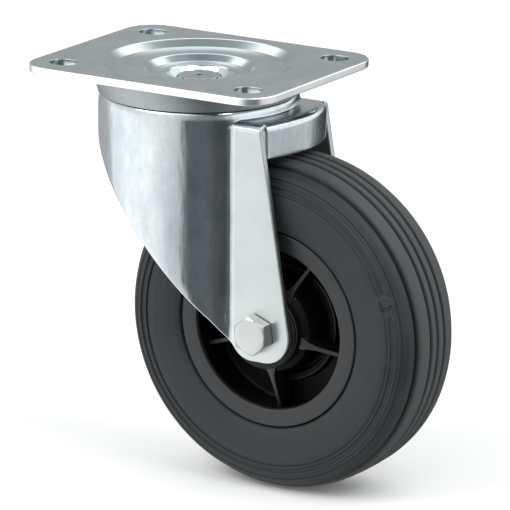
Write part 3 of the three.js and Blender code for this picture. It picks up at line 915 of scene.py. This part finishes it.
def rim_profile():
    side = [(30.5, 15.8, 0.3), (30.9, 17.0, 0.5), (37.0, 17.0, 0.6), (37.4, 16.2, 0.3),
            (37.4, 8.3), (40.0, 7.3)]
    other = [(r, -h, *rest) for r, h, *rest in side[::-1]]
    below = [(31.6, -WEB_HALF, 1.4), (22.6, -WEB_HALF, 0.5), (22.2, -5.2, 0.5), (19.6, -5.2, 0.5),
             (19.2, -WEB_HALF, 0.5), (17.6, -WEB_HALF, 1.0), (16.6, -14.5, 0.8),
             (14.4, -16.0, 0.5), (14.3, -19.6, 0.4), (10.6, -19.6)]
    above = [(r, -h, *rest) for r, h, *rest in below[::-1]]
    corners = [(30.6, 12.0), *side, *other, *below, *above, (31.4, 3.0), (30.6, 12.0)]
    return rounded(corners, 4)[:-1]


def rib_block(angle, side):
    """A tapered fin from boss to rim, wider at its root, with rounded free edges."""
    bm = bmesh.new()
    stations = [(13.0, 2.6, 16.6), (15.5, 2.2, 16.3), (17.5, 1.4, 15.9), (20.0, 0.95, 15.2),
                (25.0, 0.85, 13.4), (29.0, 0.85, 12.0), (32.0, 0.9, 11.6)]
    c, s = math.cos(angle), math.sin(angle)
    rings = []
    for r, half, top in stations:
        section = [(-half, 1.0), (-half, top - 0.5), (-half + 0.15, top - 0.15), (-half + 0.4, top),
                   (half - 0.4, top), (half - 0.15, top - 0.15), (half, top - 0.5), (half, 1.0)]
        rings.append([bm.verts.new((AXLE.x + r * c - w * s, side * y, AXLE.z + r * s + w * c))
                      for w, y in section])
    for a, b in zip(rings, rings[1:]):
        for k in range(len(a)):
            j = (k + 1) % len(a)
            bm.faces.new((a[k], a[j], b[j], b[k]))
    bm.faces.new(rings[0])
    bm.faces.new(rings[-1])
    bmesh.ops.recalc_face_normals(bm, faces=bm.faces)
    return bm


def make_rim():
    bm = turned(spread(rim_profile(), 3.0), even_angles(160), "Y", AXLE, closed=True)
    for angle in RIB_ANGLES:
        for side in (-1, 1):
            merge(bm, rib_block(angle, side))
    piece = link_object("rim_moulded", bm, "wheel", RIM_PLASTIC, ["rim"], 32)

    # Pocket faces, except the rib and ring tops, get the near-black plastic: painted shade in the
    # recess.
    def in_shaded_pocket(centre, normal):
        radius = math.hypot(centre.x - AXLE.x, centre.z - AXLE.z)
        turn = math.atan2(centre.z - AXLE.z, centre.x - AXLE.x)
        out = abs(centre.y)
        off_rib = min(abs(radius * math.sin(turn - rib)) for rib in RIB_ANGLES
                      if math.cos(turn - rib) >= 0)
        rib_top = abs(normal.y) > 0.5 and out > 9 and radius > 14.2 and off_rib < 2.4
        ring_top = abs(normal.y) > 0.3 and out > 4.7 and 21.7 < radius < 22.4
        reach = 32.5 if out < 15.5 else 29
        return radius < reach and out < 19.3 and not rib_top and not ring_top

    second_material(piece, RIM_POCKET_SHADE, in_shaded_pocket)


def make_hub_cap(side, node):
    profile = rounded([(6.3, 17.2), (10.3, 17.2, 0.2), (10.3, 19.9), (14.2, 19.9, 0.2),
                       (14.2, 21.2, 0.5), (9.6, 21.2, 0.3), (9.2, 20.7, 0.3), (7.4, 20.7, 0.3),
                       (7.0, 21.2, 0.2), (6.3, 21.2, 0.2), (6.3, 17.2)], 4)[:-1]
    profile = [(r, side * h) for r, h in profile]
    bm = turned(profile, even_angles(120), "Y", AXLE, closed=True)
    link_object(node + "_turned", bm, "wheel", HUB_PLASTIC, [node])


# ---- carried-over nodes -------------------------------------------------------------------------
def dress_cad_nodes():
    """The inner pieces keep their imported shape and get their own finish."""
    finishes = {"upper_ball": STEEL, "lower_ball": STEEL, "roller_": STEEL, "axle_sleeve": STEEL,
                "roller_cage": BEARING_PLASTIC, "nut_insert": BEARING_PLASTIC, "lower_race": ZINC}
    for name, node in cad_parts.items():
        matches = [key for key in finishes if name.startswith(key)]
        if matches:
            for place in node.material_slots:
                place.material = finishes[max(matches, key=len)]


make_plate()
make_dust_ring()
make_king_pin()
make_fork()
make_bolt()
make_nut()
make_washer()
make_tyre()
make_rim()
make_hub_cap(-1, "hub_cap_head_side")
make_hub_cap(1, "hub_cap_nut_side")
dress_cad_nodes()


# ---- studio -------------------------------------------------------------------------------------
def make_floor():
    mesh = bpy.data.meshes.new("floor")
    half = 6.0
    corners = [(x * half, y * half, FLOOR_Z * MM) for x, y in ((-1, -1), (1, -1), (1, 1), (-1, 1))]
    mesh.from_pydata(corners, [], [(0, 1, 2, 3)])
    floor = bpy.data.objects.new("floor", mesh)
    bpy.context.scene.collection.objects.link(floor)

    def build(nodes, shader):
        tone = nodes.noise(nodes.place(), 3, 2, 0.5)
        colour = nodes.mix(tone, (0.93, 0.93, 0.93), (0.96, 0.96, 0.96))
        plug(nodes, shader, Base_Color=colour, Roughness=0.9)
        seen_from_below = nodes.add("ShaderNodeNewGeometry").outputs["Backfacing"]
        plug(nodes, shader, Alpha=nodes.math("SUBTRACT", 1.0, seen_from_below))
        shader.inputs["Emission Color"].default_value = (1, 1, 1, 1)
        shader.inputs["Emission Strength"].default_value = 0.05
    mesh.materials.append(finish_material("floor_pale", build))
    floor.visible_glossy = False


def make_world():
    """Soft studio surroundings by direction: bright boxes and dark flags round the horizon."""
    world = bpy.data.worlds.new("studio")
    bpy.context.scene.world = world
    world.use_nodes = True
    nodes = Nodes(world.node_tree)
    direction = nodes.add("ShaderNodeTexCoord").outputs["Generated"]
    x, y, z = nodes.add("ShaderNodeSeparateXYZ", {"Vector": direction}).outputs
    turn = nodes.remap(nodes.math("ARCTAN2", y, x), -math.pi, math.pi)
    level = [(-180, 0.8), (-172, 1.4), (-133, 1.5), (-126, 1.35), (-112, 1.3), (-95, 1.0),
             (-79, 0.85), (-76, 0.35), (-71, 0.13), (-50, 0.15), (-23, 0.04), (-15, 0.7),
             (10, 0.72), (48, 0.72), (58, 0.8), (66, 0.42), (77, 0.12), (90, 0.06), (108, 0.06),
             (122, 0.46), (170, 0.55), (180, 0.8)]
    low_level = [(-180, 1.0), (-120, 1.2), (-85, 1.0), (-60, 0.3), (-30, 0.4), (-15, 1.3),
                 (75, 1.4), (94, 0.46), (160, 0.46), (180, 1.0)]

    def tinted(v):
        return (v, v * 1.02, v * 1.03) if v > 0.3 else (v, v * 1.08, v * 1.15)

    def ring(levels):
        return nodes.ramp(turn, [((a + 180) / 360, tinted(v)) for a, v in levels])

    rise = nodes.math("ARCSINE", z)
    overhead = [(0.34, (1.0, 1.02, 1.03)), (0.4, (1.9, 1.9, 1.9)), (0.52, (1.9, 1.9, 1.9)),
                (0.62, (0.5, 0.53, 0.54)), (0.84, (0.4, 0.43, 0.44)), (0.93, (0.22, 0.26, 0.26))]
    high = nodes.ramp(nodes.remap(rise, 0, rad(90)), overhead)
    seen = nodes.mix(nodes.remap(rise, rad(-2), rad(8), smooth=True), ring(level), ring(low_level))
    seen = nodes.mix(nodes.remap(rise, rad(24), rad(36), smooth=True), seen, high)
    rays = nodes.add("ShaderNodeLightPath")
    softened = nodes.remap(rays.outputs["Is Diffuse Ray"], 0, 1, 1.0, 0.8)
    softened = nodes.add("ShaderNodeCombineXYZ", {0: softened, 1: softened, 2: softened})
    seen = nodes.mix(1.0, seen, softened.outputs[0], "MULTIPLY")
    colour = nodes.mix(rays.outputs["Is Camera Ray"], seen, (1.0, 1.0, 1.0))
    background = nodes.add("ShaderNodeBackground", {"Color": colour, "Strength": 1.0})
    output = nodes.add("ShaderNodeOutputWorld")
    nodes.tree.links.new(background.outputs[0], output.inputs["Surface"])


def make_light(name, place, aim, size, power):
    data = bpy.data.lights.new(name, "AREA")
    data.shape = "RECTANGLE"
    data.size, data.size_y = size
    data.energy = power
    light = bpy.data.objects.new(name, data)
    light.location = place
    light.rotation_euler = (Vector(place) - Vector(aim)).to_track_quat("Z", "Y").to_euler()
    bpy.context.scene.collection.objects.link(light)


make_floor()
make_world()
make_light("key", (-0.5, -0.9, 0.9), (0, 0, -0.08), (0.8, 0.8), 7)
make_light("side", (0.85, -0.1, 1.25), (0, 0, -0.08), (0.9, 0.9), 9)
bpy.context.scene.view_settings.view_transform = "Standard"
